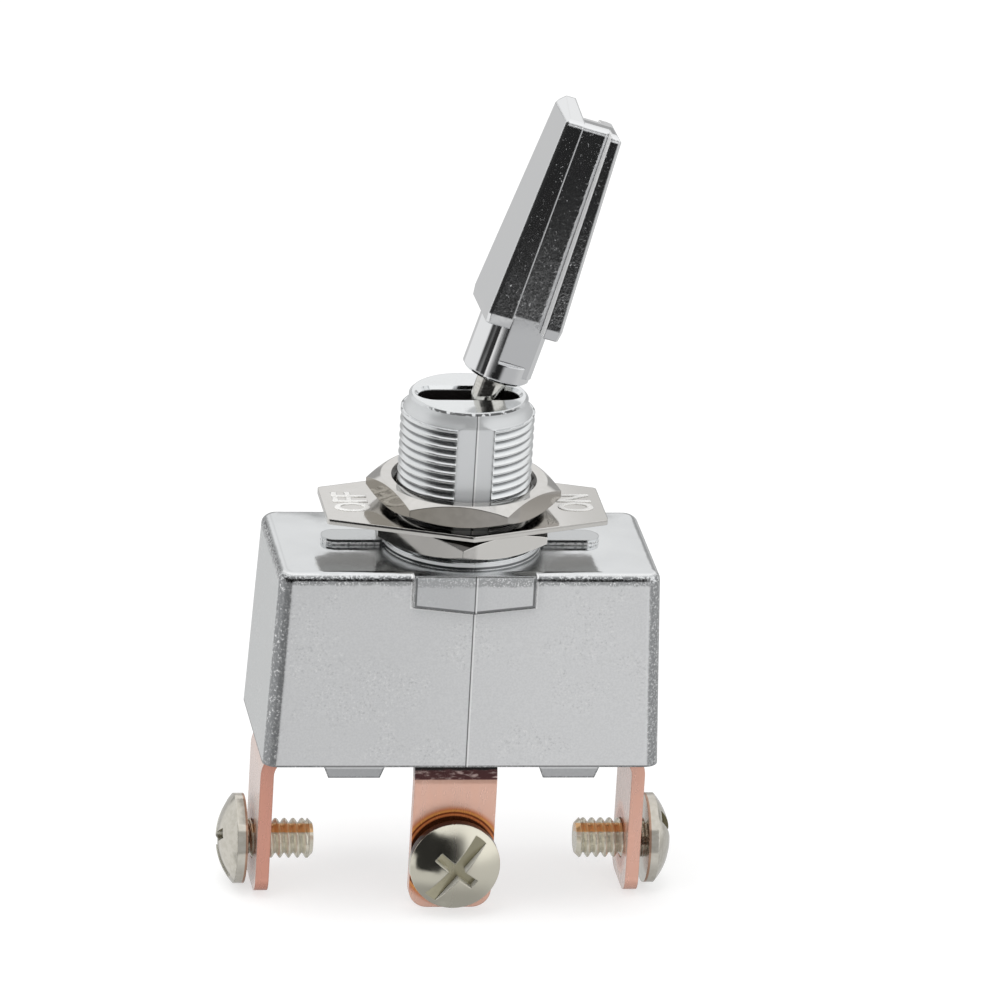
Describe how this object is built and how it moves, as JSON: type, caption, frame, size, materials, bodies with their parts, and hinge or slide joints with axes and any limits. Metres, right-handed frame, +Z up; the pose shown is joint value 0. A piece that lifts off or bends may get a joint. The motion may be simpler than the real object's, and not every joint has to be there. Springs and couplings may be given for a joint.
{
  "type": "panel toggle switch",
  "caption": "Panel-mount toggle switch: cast paddle lever on a threaded bushing with nuts and legend plate, box housing and copper tabs with binding screws below.",
  "frame": {"origin": "on the bushing's axis, level with the housing's flat top face", "axes": "+Z up along the bushing towards the handle, +X to the side the lever is thrown to at rest, -Y to the front with the middle terminal's screw"},
  "size_m": [0.041, 0.018, 0.0737],
  "materials": {
    "zinc_casting": "satin, fine cast speckle",
    "plated_steel": "smooth plated",
    "chrome_plate": "polished",
    "turned_steel": "bright turned",
    "copper_strip": "satin copper",
    "nickel_screw": "bright nickel plate",
    "brass_part": "plain brass",
    "silver_contact": "satin silver",
    "spring_wire": "drawn wire",
    "phenolic_board": "moulded dark phenolic",
    "fish_paper": "pressed fibre sheet"
  },
  "bodies": {
    "body": {"housing": "zinc_casting", "lower_nut": "plated_steel", "legend_plate": "plated_steel", "pivot_pin": "turned_steel", "insulating_base": "phenolic_board", "insulating_liner": "fish_paper", "left_terminal": "copper_strip", "middle_terminal": "copper_strip", "right_terminal": "copper_strip", "left_contact_rivet": "silver_contact", "right_contact_rivet": "silver_contact", "middle_rivet": "brass_part", "rocker_bracket": "brass_part"},
    "lever": {"lever_rod": "turned_steel", "handle": "chrome_plate", "plunger_spring": "spring_wire"},
    "plunger": {"plunger": "brass_part"},
    "rocker": {"rocker": "copper_strip", "left_moving_contact": "silver_contact", "right_moving_contact": "silver_contact"},
    "upper_nut": {"upper_nut": "plated_steel"},
    "left_screw": {"left_screw": "nickel_screw"},
    "middle_screw": {"middle_screw": "nickel_screw"},
    "right_screw": {"right_screw": "nickel_screw"}
  },
  "joints": [
    {"name": "lever_swing", "type": "hinge", "parent": "body", "child": "lever", "pos_m": [0, 0, 0.0087], "axis": [0, 1, 0], "range_deg": [-33.2, 0]},
    {"name": "rocker_tilt", "type": "hinge", "parent": "body", "child": "rocker", "pos_m": [0, 0, -0.01125], "axis": [0, 1, 0], "range_deg": [0, 8.3]},
    {"name": "plunger_slide", "type": "slide", "parent": "lever", "child": "plunger", "axis": [0.2857, 0, 0.9583], "range_m": [0, 0.0008], "stiffness_N_per_m": 400, "springref_m": -0.002, "deforming": ["plunger_spring"]},
    {"name": "upper_nut_travel", "type": "slide", "parent": "body", "child": "upper_nut", "axis": [0, 0, 1], "range_m": [-0.00045, 0.0075]},
    {"name": "left_screw_travel", "type": "slide", "parent": "body", "child": "left_screw", "axis": [-1, 0, 0], "range_m": [-0.00075, 0.0035]},
    {"name": "middle_screw_travel", "type": "slide", "parent": "body", "child": "middle_screw", "axis": [0, -1, 0], "range_m": [-0.00125, 0.003]},
    {"name": "right_screw_travel", "type": "slide", "parent": "body", "child": "right_screw", "axis": [1, 0, 0], "range_m": [-0.00075, 0.0035]}
  ],
  "couplings": [
    {"joint": "rocker_tilt", "follows": "lever_swing", "ratio": -0.25}
  ]
}
